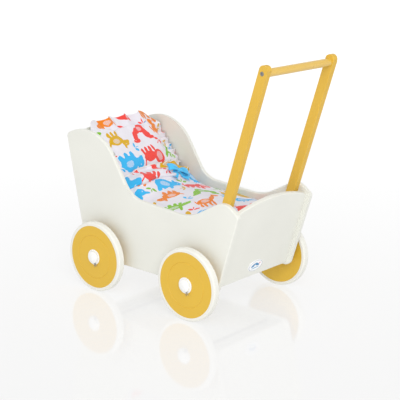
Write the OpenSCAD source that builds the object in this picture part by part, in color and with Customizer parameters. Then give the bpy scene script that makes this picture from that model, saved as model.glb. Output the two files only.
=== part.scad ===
// Toy doll stroller: a painted board tub on four wheels, a slanting push handle and loose bedding.
// +X points to the handle end, +Y to the pusher's right, +Z up. Left and right are the pusher's.
// The origin is on the floor, under the middle of the object.
// Shapes are drawn from the middle of the wheelbase and moved by place() to that origin.

/* [Tub] */
// Outside width over the two side panels
tub_w = 249; // [240:1:256]
// Thickness of every board of the tub
board_t = 10; // [9:0.5:11]
// Height of the side panels' lower edge above the floor
sill_z = 62; // [60:1:64]
// Lean of the foot end, the handle end of the tub, in degrees
foot_tilt = 16.2; // [14:0.1:18]
// Lean of the head end, in degrees
head_tilt = 13.3; // [12:0.1:15]
// How far the end boards stand back from the side panels' slanting edges
end_recess = 10; // [8:1:12]

/* [Wheels] */
// Distance between the two axles
wheelbase = 257; // [250:1:264]
// Diameter over the tyre
wheel_d = 150; // [146:1:154]
// Diameter of the painted wheel disc inside the tyre
disc_d = 134.6; // [132:0.2:136]
// Thickness of the wheel disc
disc_t = 16; // [14:0.5:18]
// Distance between the outer faces of the left and right wheel discs
track_w = 314.6; // [312:0.2:320]

/* [Handle] */
// Width of a handle bar along the stroller
bar_w = 20; // [18:1:22]
// Thickness of a handle bar across the stroller
bar_t = 14; // [12:1:15]
// Height of the centre of a bar's rounded top
bar_top_z = 513; // [480:1:540]
// Diameter of the grip rod
grip_d = 16; // [14:1:18]

/* [Bedding] */
// Thickness of the mattress
mattress_t = 30; // [25:1:34]
// Gap between the loose bedding and the tub
bedding_gap = 0.8; // [0.5:0.1:2]

/* [Hidden] */

panel_paint = "#ECEBE5";
handle_paint = "#E9BD50";
wheel_paint = "#EDC452";
tyre_white = "#F2F1EC";
plastic_white = "#F6F6F4";
steel = "#8D8F92";
wood = "#D8B98A";
cloth = "#F1EFF5";
cloth_blue = "#3FBFF5";
round_fn = 96;
small_fn = 32;

LEFT = -1;
RIGHT = 1;
REAR = 1;
FRONT = -1;

half_w = tub_w / 2;
in_y = half_w - board_t;
in_w = 2 * in_y;
axle_z = wheel_d / 2;
foot_slope = tan(foot_tilt);
head_slope = tan(head_tilt);

// Slanting edges of the side panels at the sill
foot_sill_x = 182;
head_sill_x = -184;
foot_corner_z = 227.5;
head_corner_z = 320;
function foot_x(z) = foot_sill_x + (z - sill_z) * foot_slope;
function head_x(z) = head_sill_x - (z - sill_z) * head_slope;
foot_face_t = board_t / cos(foot_tilt);
head_face_t = board_t / cos(head_tilt);
function foot_in_x(z) = foot_x(z) - end_recess - foot_face_t;
function head_in_x(z) = head_x(z) + end_recess + head_face_t;

// Corners of a side panel in X and Z, each with the radius that rounds it
sill_r = 16;
side_corners = [
    [foot_x(sill_z), sill_z, sill_r],
    [foot_x(foot_corner_z), foot_corner_z, 8],
    [194, 253.5, 34],
    [105, 203, 100],
    [-55, 213.5, 60],
    [-154, 364.5, 100],
    [head_x(head_corner_z), head_corner_z, 10],
    [head_x(sill_z), sill_z, sill_r]
];

// End boards and floor board
end_base_z = 68;
foot_crown_z = 245.5;
foot_crown_rise = 19;
head_crown_z = 331;
head_crown_rise = 14;
floor_top_z = 98;
floor_base_z = floor_top_z - board_t;
floor_ease = 1.2;

// Wooden dowels: length, radius and how far they enter a side panel
dowel_len = 30;
dowel_r = 4;
dowel_in_side = 7;
floor_dowel_x = [-135, 0, 135];
end_dowel_s = [35, 120];

// Handle
bar_foot_z = 102;
bar_sill_x = 138.1;
function bar_x(z) = bar_sill_x + (z - sill_z) * foot_slope;
bar_len = (bar_top_z - bar_foot_z) / cos(foot_tilt);
grip_below_top = 6.2;
grip_z = bar_top_z - grip_below_top * cos(foot_tilt);
bolt_z = [122, 182];
bolt_r = 2.5;
bolt_head_r = 4.8;
bolt_head_h = 2.6;
bolt_grip_in_nut = 6;
nut_r = 4.5;
nut_len = 8;
screw_r = 2;
screw_head_r = 4.2;
screw_head_h = 2.4;
screw_len = 34;
drill_gap = 0.25;

// Wheels, measured outwards from the inner face of the disc
disc_in_y = track_w / 2 - disc_t;
axle_r = 3;
axle_play = 0.07;
bush_r = 6;
flange_r = 16.5;
flange_t = 2;
side_play = 0.4;
tyre_lip = 0.2;
tyre_edge_r = 3.4;
groove_r = 46.5;
groove_w = 1.8;
groove_depth = 0.9;
cap_r = 13;
cap_wall_h = 2.8;
cap_h = 6.2;
cap_base = disc_t + flange_t + side_play;
axle_end = cap_base + 4.4;
pin_r = 1.1;
pin_z = cap_base + 1.5;
pin_turn = 65;
pin_tail = 13.5;
pin_leg_r = 0.75;
pin_leg_len = 8;
pin_splay = 24;
pin_play = 0.05;
pin_slot_w = 5;

// Oval badge on the foot panel
badge_w = 48;
badge_h = 26;
badge_t = 1;
badge_s = 23.5;

// Bedding
bed_z = floor_top_z + 0.4;
mattress_top = bed_z + mattress_t;
soft_gap = 0.6;
bar_notch_x = 139;
bar_notch_y = in_y - bar_t - bolt_head_h - bedding_gap;
pillow_half_w = 94;
pillow_top_z = 336;
frill_w = 17;
frill_t = 7;
frill_lean = 40;
frill_foot = [-128, 0, 235];
frill_side_len = 130.5;
bow_at = [-80, 42, 235];
bow_slope = 42;

// Middle of the wheelbase, measured from the middle of the whole object
side_points = rounded(side_corners);
object_x0 = min([for (p = side_points) p.x]);
object_x1 = bar_x(bar_top_z) + bar_w / 2;
mid_x = -(object_x0 + object_x1) / 2;

function unit(v) = v / norm(v);

// Points of the arc that rounds corner b between its neighbours a and c
function arc_at(a, b, c, r, steps) =
    let (
        u = unit(a - b),
        v = unit(c - b),
        half = acos(u * v) / 2,
        centre = b + unit(u + v) * r / sin(half),
        from = b + u * r / tan(half) - centre,
        to = b + v * r / tan(half) - centre,
        start = atan2(from.y, from.x),
        turn = (from.x * to.y - from.y * to.x > 0 ? 1 : -1) * (180 - 2 * half)
    )
    [for (i = [0:steps]) centre + r * [cos(start + turn * i / steps), sin(start + turn * i / steps)]];

// Outline with every corner [x, y, r] rounded by its own radius, and 0 for a sharp one
function rounded(corners, steps = 12) =
    let (n = len(corners))
    [for (i = [0:n - 1])
        let (a = corners[(i + n - 1) % n], b = corners[i], c = corners[(i + 1) % n])
        each b[2] == 0
            ? [[b.x, b.y]]
            : arc_at([a.x, a.y], [b.x, b.y], [c.x, c.y], b[2], steps)];

module place() {
    translate([mid_x, 0, 0]) children();
}

// Extrudes an X-Z outline across the stroller, from y0 to y1
module across(y0, y1) {
    translate([0, y1, 0]) rotate([90, 0, 0]) linear_extrude(y1 - y0) children();
}

// Rod along Y with its two ends at y0 and y1
module rod(x, z, y0, y1, r, fn = small_fn) {
    translate([x, min(y0, y1), z]) rotate([-90, 0, 0]) cylinder(r = r, h = abs(y1 - y0), $fn = fn);
}

// Local frames of the two leaning end boards: X is across the thickness, Z runs up the board
module on_foot_board() {
    translate([foot_x(end_base_z) - end_recess, 0, end_base_z]) rotate([0, foot_tilt, 0]) children();
}

module on_head_board() {
    translate([head_x(end_base_z) + end_recess, 0, end_base_z]) rotate([0, -head_tilt, 0]) children();
}

// Board outline seen from its face, with an arched upper edge
module arched_board(height, rise) {
    crown_r = (in_y * in_y + rise * rise) / (2 * rise);
    rotate([90, 0, 90]) linear_extrude(board_t) intersection() {
        translate([-in_y, 0]) square([in_w, height]);
        translate([0, height - crown_r]) circle(r = crown_r, $fn = 4 * round_fn);
    }
}

// Dowels of each board on one side; the same cylinders also cut their holes
module floor_dowel_set(side) {
    for (x = floor_dowel_x)
        rod(x, floor_top_z - board_t / 2, side * (in_y + dowel_in_side), side * (in_y + dowel_in_side - dowel_len),
            dowel_r);
}

module end_dowel_set(side, depth) {
    for (s = end_dowel_s)
        rod(depth, s, side * (in_y + dowel_in_side), side * (in_y + dowel_in_side - dowel_len), dowel_r);
}

module foot_dowel_set(side) {
    on_foot_board() end_dowel_set(side, -board_t / 2);
}

module head_dowel_set(side) {
    on_head_board() end_dowel_set(side, board_t / 2);
}

module side_panel(side) {
    color(panel_paint) place() difference() {
        across(side > 0 ? in_y : -half_w, side > 0 ? half_w : -in_y) polygon(side_points);
        for (end = [FRONT, REAR])
            rod(end * wheelbase / 2, axle_z, side * (in_y - 1), side * (half_w + 1), axle_r + axle_play, round_fn);
        floor_dowel_set(side);
        foot_dowel_set(side);
        head_dowel_set(side);
        for (z = bolt_z)
            rod(bar_x(z), z, side * (in_y - 1), side * (in_y + nut_len), nut_r, round_fn);
    }
}

module foot_panel() {
    color(panel_paint) place() difference() {
        on_foot_board()
            translate([-board_t, 0, 0])
                arched_board((foot_crown_z - end_base_z) / cos(foot_tilt), foot_crown_rise);
        foot_dowel_set(LEFT);
        foot_dowel_set(RIGHT);
    }
}

module head_panel() {
    color(panel_paint) place() difference() {
        on_head_board() arched_board((head_crown_z - end_base_z) / cos(head_tilt), head_crown_rise);
        head_dowel_set(LEFT);
        head_dowel_set(RIGHT);
    }
}

// Board between the leaning ends; its lower end edges are eased, so a tray lies flat under it
module floor_board() {
    eased_z = floor_base_z + floor_ease;
    color(panel_paint) place() difference() {
        across(-in_y, in_y) polygon([
            [head_in_x(eased_z), eased_z],
            [head_in_x(floor_base_z) + floor_ease, floor_base_z],
            [foot_in_x(floor_base_z) - floor_ease, floor_base_z],
            [foot_in_x(eased_z), eased_z],
            [foot_in_x(floor_top_z), floor_top_z],
            [head_in_x(floor_top_z), floor_top_z]
        ]);
        floor_dowel_set(LEFT);
        floor_dowel_set(RIGHT);
    }
}

module floor_dowels() {
    color(wood) place() for (side = [LEFT, RIGHT]) floor_dowel_set(side);
}

module foot_dowels() {
    color(wood) place() for (side = [LEFT, RIGHT]) foot_dowel_set(side);
}

module head_dowels() {
    color(wood) place() for (side = [LEFT, RIGHT]) head_dowel_set(side);
}

// Bar seen from the side: a straight strip with a half-round top
module bar_outline() {
    translate([bar_x(bar_foot_z), bar_foot_z]) rotate(-foot_tilt) {
        translate([-bar_w / 2, 0]) square([bar_w, bar_len]);
        translate([0, bar_len]) circle(r = bar_w / 2, $fn = round_fn);
    }
}

module handle_bar(side) {
    y0 = side * in_y;
    y1 = side * (in_y - bar_t);
    color(handle_paint) place() difference() {
        across(min(y0, y1), max(y0, y1)) bar_outline();
        for (z = bolt_z)
            rod(bar_x(z), z, y0 + side, y1 - side, bolt_r + drill_gap, round_fn);
        rod(bar_x(grip_z), grip_z, y0 + side, y1 - side, screw_r + drill_gap, round_fn);
        rod(bar_x(grip_z), grip_z, y0 + side, y0 - side * screw_head_h, screw_head_r + drill_gap, round_fn);
    }
}

module handle_grip() {
    end_y = in_y - bar_t;
    color(handle_paint) place() difference() {
        rod(bar_x(grip_z), grip_z, -end_y, end_y, grip_d / 2, round_fn);
        for (side = [LEFT, RIGHT])
            rod(bar_x(grip_z), grip_z, side * (end_y + 1), side * (in_y - screw_len), screw_r, round_fn);
    }
}

// Countersunk screws with a hexagonal socket, one through each bar into the end of the grip
module grip_screws() {
    socket_d = 4.4;
    socket_depth = 1.6;
    color(steel) place() for (side = [LEFT, RIGHT]) difference() {
        union() {
            rod(bar_x(grip_z), grip_z, side * in_y, side * (in_y - screw_head_h), screw_head_r, round_fn);
            rod(bar_x(grip_z), grip_z, side * in_y, side * (in_y - screw_len), screw_r, round_fn);
        }
        translate([bar_x(grip_z), side * in_y, grip_z]) rotate([90 * side, 0, 0])
            translate([0, 0, -0.5]) cylinder(d = socket_d, h = socket_depth + 0.5, $fn = 6);
    }
}

// Bolts put in from inside the tub, through each bar into a nut sunk in the side panel
module handle_bolts() {
    socket_d = 4.6;
    socket_depth = 1.5;
    color(steel) place() for (side = [LEFT, RIGHT], z = bolt_z) {
        head_y = side * (in_y - bar_t);
        difference() {
            union() {
                rod(bar_x(z), z, head_y, head_y - side * bolt_head_h, bolt_head_r, round_fn);
                rod(bar_x(z), z, head_y, side * (in_y + bolt_grip_in_nut), bolt_r, round_fn);
            }
            translate([bar_x(z), head_y - side * bolt_head_h, z]) rotate([-90 * side, 0, 0])
                translate([0, 0, -0.5]) cylinder(d = socket_d, h = socket_depth + 0.5, $fn = 6);
        }
    }
}

module handle_insert_nuts() {
    color(steel) place() for (side = [LEFT, RIGHT], z = bolt_z) difference() {
        rod(bar_x(z), z, side * in_y, side * (in_y + nut_len), nut_r, round_fn);
        rod(bar_x(z), z, side * (in_y - 1), side * (in_y + nut_len + 1), bolt_r, round_fn);
    }
}

module oval_badge() {
    color(plastic_white) place() on_foot_board()
        translate([0, 0, badge_s]) rotate([90, 0, 90]) linear_extrude(badge_t)
            polygon([for (a = [0:7.5:352.5]) [badge_w / 2 * cos(a), badge_h / 2 * sin(a)]]);
}

// Local frame of a wheel: the origin is on the axle at the disc's inner face, +Z points outwards
module at_wheel(end, side) {
    translate([end * wheelbase / 2, side * disc_in_y, axle_z]) rotate([-90 * side, 0, 0]) children();
}

// Heading of a pin's legs in the wheel's local frame: down and towards the handle on both sides
function pin_heading(side) = side > 0 ? pin_turn : -pin_turn;

// Local frame of a split pin: the origin is in the middle of the axle, +Z runs along its legs
module along_pin(side) {
    translate([0, 0, pin_z]) rotate([0, 0, pin_heading(side)]) rotate([0, 90, 0]) children();
}

module wheel_disc(end, side) {
    color(wheel_paint) place() at_wheel(end, side) difference() {
        cylinder(d = disc_d, h = disc_t, $fn = 2 * round_fn);
        translate([0, 0, -1]) cylinder(r = bush_r, h = disc_t + 2, $fn = round_fn);
        translate([0, 0, disc_t - groove_depth]) difference() {
            cylinder(r = groove_r + groove_w / 2, h = groove_depth + 1, $fn = 2 * round_fn);
            translate([0, 0, -1]) cylinder(r = groove_r - groove_w / 2, h = groove_depth + 3, $fn = 2 * round_fn);
        }
    }
}

module tyre(end, side) {
    color(tyre_white) place() at_wheel(end, side) rotate_extrude($fn = 2 * round_fn)
        polygon(rounded([
            [disc_d / 2, -tyre_lip, 0],
            [wheel_d / 2, -tyre_lip, tyre_edge_r],
            [wheel_d / 2, disc_t + tyre_lip, tyre_edge_r],
            [disc_d / 2, disc_t + tyre_lip, 0]
        ], 6));
}

// Plastic bush pressed into the disc, with the round flange that shows on the outside
module hub_bush(end, side) {
    color(plastic_white) place() at_wheel(end, side) difference() {
        union() {
            cylinder(r = bush_r, h = disc_t + flange_t, $fn = round_fn);
            translate([0, 0, disc_t]) cylinder(r = flange_r, h = flange_t, $fn = round_fn);
        }
        translate([0, 0, -1]) cylinder(r = axle_r + axle_play, h = disc_t + flange_t + 2, $fn = round_fn);
    }
}

// Steel rod through both side panels, cross-drilled at its ends for the split pins
module axle(end) {
    color(steel) place() difference() {
        rod(end * wheelbase / 2, axle_z, -(disc_in_y + axle_end), disc_in_y + axle_end, axle_r, round_fn);
        for (side = [LEFT, RIGHT]) at_wheel(end, side) along_pin(side)
            cylinder(r = pin_r + pin_play, h = 4 * axle_r, center = true, $fn = small_fn);
    }
}

module axle_spacers() {
    spacer_len = disc_in_y - half_w - side_play;
    color(plastic_white) place() for (end = [FRONT, REAR], side = [LEFT, RIGHT]) at_wheel(end, side)
        translate([0, 0, -side_play - spacer_len]) difference() {
            cylinder(r = bush_r, h = spacer_len, $fn = round_fn);
            translate([0, 0, -1]) cylinder(r = axle_r, h = spacer_len + 2, $fn = round_fn);
        }
}

// Domed cap pushed on the axle's end, with a slot across its back for the split pin
module hub_cap() {
    dome_rise = cap_h - cap_wall_h;
    dome_r = (cap_r * cap_r + dome_rise * dome_rise) / (2 * dome_rise);
    difference() {
        translate([0, 0, cap_base]) intersection() {
            cylinder(r = cap_r, h = cap_h, $fn = round_fn);
            translate([0, 0, cap_h - dome_r]) sphere(r = dome_r, $fn = 2 * round_fn);
        }
        translate([0, 0, cap_base - 1]) cylinder(r = axle_r, h = axle_end - cap_base + 1, $fn = round_fn);
    }
}

module pin_slot(side) {
    slot_h = 2 * (pin_z - cap_base);
    rotate([0, 0, pin_heading(side)]) translate([-cap_r + 2, -pin_slot_w / 2, cap_base - 1])
        cube([2 * cap_r, pin_slot_w, slot_h + 1]);
}

module hub_caps() {
    color(plastic_white) place() for (end = [FRONT, REAR], side = [LEFT, RIGHT]) at_wheel(end, side)
        difference() {
            hub_cap();
            pin_slot(side);
        }
}

// One pin: a round stem through the axle and two legs bent apart past the cap
module split_pin() {
    eye_end = 3 - cap_r;
    translate([0, 0, eye_end]) cylinder(r = pin_r, h = pin_tail - eye_end, $fn = small_fn);
    for (splay = [-pin_splay, pin_splay])
        translate([0, 0, pin_tail - pin_leg_r]) rotate([splay, 0, 0])
            cylinder(r = pin_leg_r, h = pin_leg_len, $fn = small_fn);
}

module split_pins() {
    color(steel) place() for (end = [FRONT, REAR], side = [LEFT, RIGHT]) at_wheel(end, side)
        along_pin(side) split_pin();
}

// Keeps the bedding between the side panels, and inside the handle bars and their bolt heads
module bedding_room() {
    intersection() {
        children();
        union() {
            translate([-400, -in_y + bedding_gap, 0]) cube([400 + bar_notch_x, in_w - 2 * bedding_gap, 600]);
            translate([bar_notch_x - 1, -bar_notch_y, 0]) cube([400, 2 * bar_notch_y, 600]);
        }
    }
}

module mattress() {
    color(cloth) place() bedding_room() across(-half_w, half_w) polygon([
        [head_in_x(bed_z) + bedding_gap, bed_z],
        [foot_in_x(bed_z) - bedding_gap, bed_z],
        [foot_in_x(mattress_top) - bedding_gap, mattress_top],
        [head_in_x(mattress_top) + bedding_gap, mattress_top]
    ]);
}

// Pillow that leans on the head panel, seen from the side
module pillow() {
    base = mattress_top + soft_gap;
    color(cloth) place() across(-pillow_half_w, pillow_half_w) polygon(rounded([
        [head_in_x(base) + bedding_gap, base, 0],
        [-125, base, 12],
        [-122, 246, 24],
        [-202, pillow_top_z, 16],
        [head_in_x(322) + bedding_gap, 322, 10]
    ], 6));
}

// Gathered frill round the pillow's two sides and top, set back from its sloping front
module pillow_frill() {
    inner = pillow_half_w + soft_gap;
    outer = inner + frill_w;
    top_s = frill_side_len + frill_w;
    color(cloth) place() translate(frill_foot) rotate([0, -frill_lean, 0])
        rotate([90, 0, 90]) linear_extrude(frill_t, center = true) difference() {
            polygon(rounded([
                [-outer, 0, 0],
                [outer, 0, 0],
                [outer, top_s, 30],
                [-outer, top_s, 30]
            ], 6));
            translate([-inner, -1]) square([2 * inner, frill_side_len + 1]);
        }
}

// Duvet over the mattress, with its turned-down end raised against the pillow
module duvet() {
    base = mattress_top + soft_gap;
    top_z = 199;
    color(cloth) place() bedding_room() across(-half_w, half_w) polygon(rounded([
        [-124, base, 0],
        [foot_in_x(base) - bedding_gap, base, 0],
        [foot_in_x(top_z) - bedding_gap, top_z, 14],
        [-48, 203, 30],
        [-104, 256, 14],
        [-121, 250, 6]
    ], 6));
}

// Bow on the slope of the turned-down end: two flat loops, a knot and two tails
module ribbon_bow() {
    loop_w = 20;
    loop_t = 7;
    color(cloth_blue) place() translate(bow_at) rotate([0, bow_slope, 0]) {
        translate([-5, -5, 0]) cube([10, 10, 10]);
        for (side = [LEFT, RIGHT]) {
            translate([-loop_w / 2, side > 0 ? 4 : -4 - loop_w, 1]) cube([loop_w, loop_w, loop_t]);
            translate([2, side * 8 - 4, 1]) cube([24, 8, 2]);
        }
    }
}

side_panel(LEFT);  // side_panel_left
side_panel(RIGHT);  // side_panel_right
foot_panel();
head_panel();
floor_board();
floor_dowels();
foot_dowels();
head_dowels();
handle_bar(LEFT);  // handle_bar_left
handle_bar(RIGHT);  // handle_bar_right
handle_grip();
grip_screws();
handle_bolts();
handle_insert_nuts();
oval_badge();
axle(FRONT);  // front_axle
axle(REAR);  // rear_axle
axle_spacers();
hub_caps();
split_pins();
wheel_disc(FRONT, LEFT);  // wheel_disc_front_left
wheel_disc(FRONT, RIGHT);  // wheel_disc_front_right
wheel_disc(REAR, LEFT);  // wheel_disc_rear_left
wheel_disc(REAR, RIGHT);  // wheel_disc_rear_right
tyre(FRONT, LEFT);  // tyre_front_left
tyre(FRONT, RIGHT);  // tyre_front_right
tyre(REAR, LEFT);  // tyre_rear_left
tyre(REAR, RIGHT);  // tyre_rear_right
hub_bush(FRONT, LEFT);  // hub_bush_front_left
hub_bush(FRONT, RIGHT);  // hub_bush_front_right
hub_bush(REAR, LEFT);  // hub_bush_rear_left
hub_bush(REAR, RIGHT);  // hub_bush_rear_right
mattress();
pillow();
pillow_frill();
duvet();
ribbon_bow();
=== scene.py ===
"""Looks of a wooden doll stroller: a white board tub on four yellow wheels, a slanting yellow push
handle, and loose printed bedding with a ribbon bow. All lengths are in metres unless they say mm."""

import math

import bmesh
import bpy
import numpy as np
from mathutils import Matrix, Vector, noise
from mathutils.bvhtree import BVHTree


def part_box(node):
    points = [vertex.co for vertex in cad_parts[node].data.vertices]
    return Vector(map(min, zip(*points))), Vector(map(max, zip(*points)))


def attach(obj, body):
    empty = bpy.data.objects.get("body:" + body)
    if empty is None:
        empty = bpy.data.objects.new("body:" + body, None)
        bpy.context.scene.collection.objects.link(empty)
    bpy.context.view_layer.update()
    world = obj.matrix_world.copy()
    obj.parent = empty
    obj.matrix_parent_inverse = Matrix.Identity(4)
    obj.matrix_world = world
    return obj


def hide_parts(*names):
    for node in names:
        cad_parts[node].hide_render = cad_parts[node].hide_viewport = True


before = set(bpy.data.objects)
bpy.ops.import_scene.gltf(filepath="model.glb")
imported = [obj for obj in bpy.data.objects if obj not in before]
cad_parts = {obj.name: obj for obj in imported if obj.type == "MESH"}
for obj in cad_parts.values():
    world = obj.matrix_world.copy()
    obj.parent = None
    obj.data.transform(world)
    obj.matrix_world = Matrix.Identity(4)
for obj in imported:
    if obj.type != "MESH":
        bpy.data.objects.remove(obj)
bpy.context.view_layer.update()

MM = 0.001
LEFT, RIGHT = -1, 1
SAME_POINT = 1e-5         # points nearer than this are one point


# ---------------------------------------------------------------- places taken from the frame

def middle(node):
    """Middle of a CAD node's box."""
    low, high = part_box(node)
    return (low + high) / 2


FRONT_AXLE, REAR_AXLE = middle("front_axle"), middle("rear_axle")
STATION_X = (FRONT_AXLE.x + REAR_AXLE.x) / 2
INNER_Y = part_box("side_panel_right")[0].y


def station(x_mm, z_mm):
    """Point in the X-Z plane, given in mm from the middle of the wheelbase and from the floor."""
    return Vector((STATION_X + x_mm * MM, 0, z_mm * MM))


# ---------------------------------------------------------------- camera, floor and light

CAMERA_PLACE = Vector((1.49383, -1.75356, 0.83430))
CAMERA_ANGLES = (40.22, 15.45, 1.16)      # azimuth, elevation and roll, in degrees
CAMERA_LENS, SENSOR = 102, 36             # both in mm
FLOOR_HALF = 15
FLOOR_GREY, FLOOR_GLOW = 0.22, 0.63       # the floor's own colour and the light it gives off
ROOM_BELOW, ROOM_ABOVE = 1.02, 0.47       # strength of the white room's light from below and above


def make_camera():
    """Camera that looks at the object as the photograph does."""
    azimuth, elevation, roll = (math.radians(a) for a in CAMERA_ANGLES)
    back = Vector((
        math.sin(azimuth) * math.cos(elevation),
        -math.cos(azimuth) * math.cos(elevation),
        math.sin(elevation),
    ))
    level = Vector((math.cos(azimuth), math.sin(azimuth), 0))
    upright = back.cross(level)
    right = math.cos(roll) * level + math.sin(roll) * upright
    up = math.cos(roll) * upright - math.sin(roll) * level
    data = bpy.data.cameras.new("camera")
    data.sensor_width = SENSOR
    data.lens = CAMERA_LENS
    data.clip_end = 100
    camera = bpy.data.objects.new("camera", data)
    turn = Matrix((right, up, back)).transposed().to_4x4()
    camera.matrix_world = Matrix.Translation(CAMERA_PLACE) @ turn
    bpy.context.scene.collection.objects.link(camera)
    bpy.context.scene.camera = camera


def make_floor():
    """Pale glossy floor, wide enough to fill the view."""
    corners = [(x * FLOOR_HALF, y * FLOOR_HALF, 0) for x, y in ((-1, -1), (1, -1), (1, 1), (-1, 1))]
    mesh = bpy.data.meshes.new("floor")
    mesh.from_pydata(corners, [], [(0, 1, 2, 3)])
    floor = bpy.data.objects.new("floor", mesh)
    bpy.context.scene.collection.objects.link(floor)
    net = Net("floor_white")
    net.surface(color=(FLOOR_GREY,) * 3, roughness=0.06, emission=(1, 1, 1), emission_strength=FLOOR_GLOW)
    mesh.materials.append(net.material)


def make_area_light(name, place, target, size, power):
    data = bpy.data.lights.new(name, "AREA")
    data.shape = "DISK"
    data.size = size
    data.energy = power
    lamp = bpy.data.objects.new(name, data)
    lamp.location = place
    lamp.rotation_euler = (Vector(target) - Vector(place)).to_track_quat("-Z", "Y").to_euler()
    bpy.context.scene.collection.objects.link(lamp)


def make_light():
    """Soft studio light: a white room with two large lamps."""
    world = bpy.data.worlds.new("studio")
    world.use_nodes = True
    tree = world.node_tree
    place = tree.nodes.new("ShaderNodeTexCoord")
    height = tree.nodes.new("ShaderNodeSeparateXYZ")
    strength = tree.nodes.new("ShaderNodeMapRange")
    strength.inputs["To Min"].default_value = ROOM_BELOW
    strength.inputs["To Max"].default_value = ROOM_ABOVE
    tree.links.new(place.outputs["Generated"], height.inputs[0])
    tree.links.new(height.outputs["Z"], strength.inputs["Value"])
    tree.links.new(strength.outputs[0], tree.nodes["Background"].inputs["Strength"])
    tree.nodes["Background"].inputs["Color"].default_value = (1, 1, 1, 1)
    bpy.context.scene.world = world
    bpy.context.scene.view_settings.view_transform = "Standard"
    make_area_light("key", (2.0, -1.9, 1.9), (0, 0, 0.2), 2.2, 50)
    make_area_light("top", (0.2, -0.3, 2.8), (0, 0, 0.2), 1.8, 8)


# ---------------------------------------------------------------- node materials

class Net:
    """A material and short calls that add its nodes. A value is a socket, a number or a triple."""

    def __init__(self, name):
        self.material = bpy.data.materials.new(name)
        self.material.use_nodes = True
        self.tree = self.material.node_tree
        self.tree.nodes.clear()

    def set(self, socket, value):
        if isinstance(value, bpy.types.NodeSocket):
            self.tree.links.new(value, socket)
        elif isinstance(value, (tuple, list)) and socket.type == "RGBA":
            socket.default_value = (*value, 1.0)[:4]
        else:
            socket.default_value = value

    def node(self, kind, inputs=None, **settings):
        made = self.tree.nodes.new(kind)
        for key, value in settings.items():
            setattr(made, key, value)
        for key, value in (inputs or {}).items():
            self.set(made.inputs[key], value)
        return made

    def math(self, operation, a, b=0.0, c=0.0):
        return self.node("ShaderNodeMath", {0: a, 1: b, 2: c}, operation=operation).outputs[0]

    def vec(self, operation, a, b=(0, 0, 0), out=0):
        return self.node("ShaderNodeVectorMath", {0: a, 1: b}, operation=operation).outputs[out]

    def scaled(self, a, factor):
        return self.node("ShaderNodeVectorMath", {0: a, "Scale": factor}, operation="SCALE").outputs[0]

    def noise(self, vector, scale, detail=2.0, roughness=0.5):
        made = self.node("ShaderNodeTexNoise", {"Vector": vector, "Scale": scale, "Detail": detail,
                                                "Roughness": roughness})
        return made.outputs["Fac"]

    def ramp(self, value, low, high, to_low=0.0, to_high=1.0):
        """value from low..high to to_low..to_high, held at the ends."""
        return self.node("ShaderNodeMapRange", {0: value, 1: low, 2: high, 3: to_low, 4: to_high}).outputs[0]

    def mix(self, factor, a, b, blend="MIX"):
        made = self.node("ShaderNodeMix", data_type="RGBA", blend_type=blend)
        for key, value in ((0, factor), (6, a), (7, b)):
            self.set(made.inputs[key], value)
        return made.outputs[2]

    def object_place(self):
        return self.node("ShaderNodeTexCoord").outputs["Object"]

    def attribute(self, name):
        return self.node("ShaderNodeAttribute", attribute_name=name).outputs["Vector"]

    def bump(self, height, strength, distance):
        return self.node("ShaderNodeBump", {"Height": height, "Strength": strength,
                                            "Distance": distance}).outputs[0]

    def ellipse(self, place, x, y, half_w, half_h, turn=0):
        """Distance from (x, y) that is 1 on the outline of an ellipse, turned by turn degrees."""
        if turn:
            c, s = math.cos(math.radians(turn)), math.sin(math.radians(turn))
            near = self.vec("SUBTRACT", place, (x, y, 0))
            fitted = self.node("ShaderNodeCombineXYZ", {
                0: self.vec("DOT_PRODUCT", near, (c / half_w, s / half_w, 0), out=1),
                1: self.vec("DOT_PRODUCT", near, (-s / half_h, c / half_h, 0), out=1),
            })
        else:
            fitted = self.node("ShaderNodeVectorMath", {
                0: place, 1: (1 / half_w, 1 / half_h, 0), 2: (-x / half_w, -y / half_h, 0),
            }, operation="MULTIPLY_ADD")
        return self.vec("LENGTH", fitted.outputs[0], out=1)

    def inside(self, place, ellipses, edge=0.018):
        """1 inside any of the ellipses, which flow into each other, and 0 outside."""
        nearest = None
        for each in ellipses:
            size = self.ellipse(place, *each)
            nearest = size if nearest is None else self.math("SMOOTH_MIN", nearest, size, 0.1)
        return self.ramp(nearest, 1 + edge, 1 - edge)

    def surface(self, color, roughness, normal=None, **constants):
        """Principled surface; constants are its other sockets, in lower case with underscores."""
        names = {
            "metallic": "Metallic", "sheen": "Sheen Weight", "sheen_roughness": "Sheen Roughness",
            "coat": "Coat Weight", "coat_roughness": "Coat Roughness",
            "specular": "Specular IOR Level", "emission": "Emission Color",
            "emission_strength": "Emission Strength", "anisotropic": "Anisotropic",
        }
        shader = self.node("ShaderNodeBsdfPrincipled")
        self.set(shader.inputs["Base Color"], color)
        self.set(shader.inputs["Roughness"], roughness)
        if normal is not None:
            self.set(shader.inputs["Normal"], normal)
        for key, value in constants.items():
            self.set(shader.inputs[names[key]], value)
        out = self.node("ShaderNodeOutputMaterial")
        self.tree.links.new(shader.outputs[0], out.inputs["Surface"])


def linear(hexa):
    """Linear colour from a display colour written as six hexadecimal digits."""
    parts = [int(hexa[i:i + 2], 16) / 255 for i in (0, 2, 4)]
    return tuple(p / 12.92 if p < 0.04045 else ((p + 0.055) / 1.055) ** 2.4 for p in parts)


def shaded(color, factor):
    return tuple(min(1.0, c * factor) for c in color)


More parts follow.
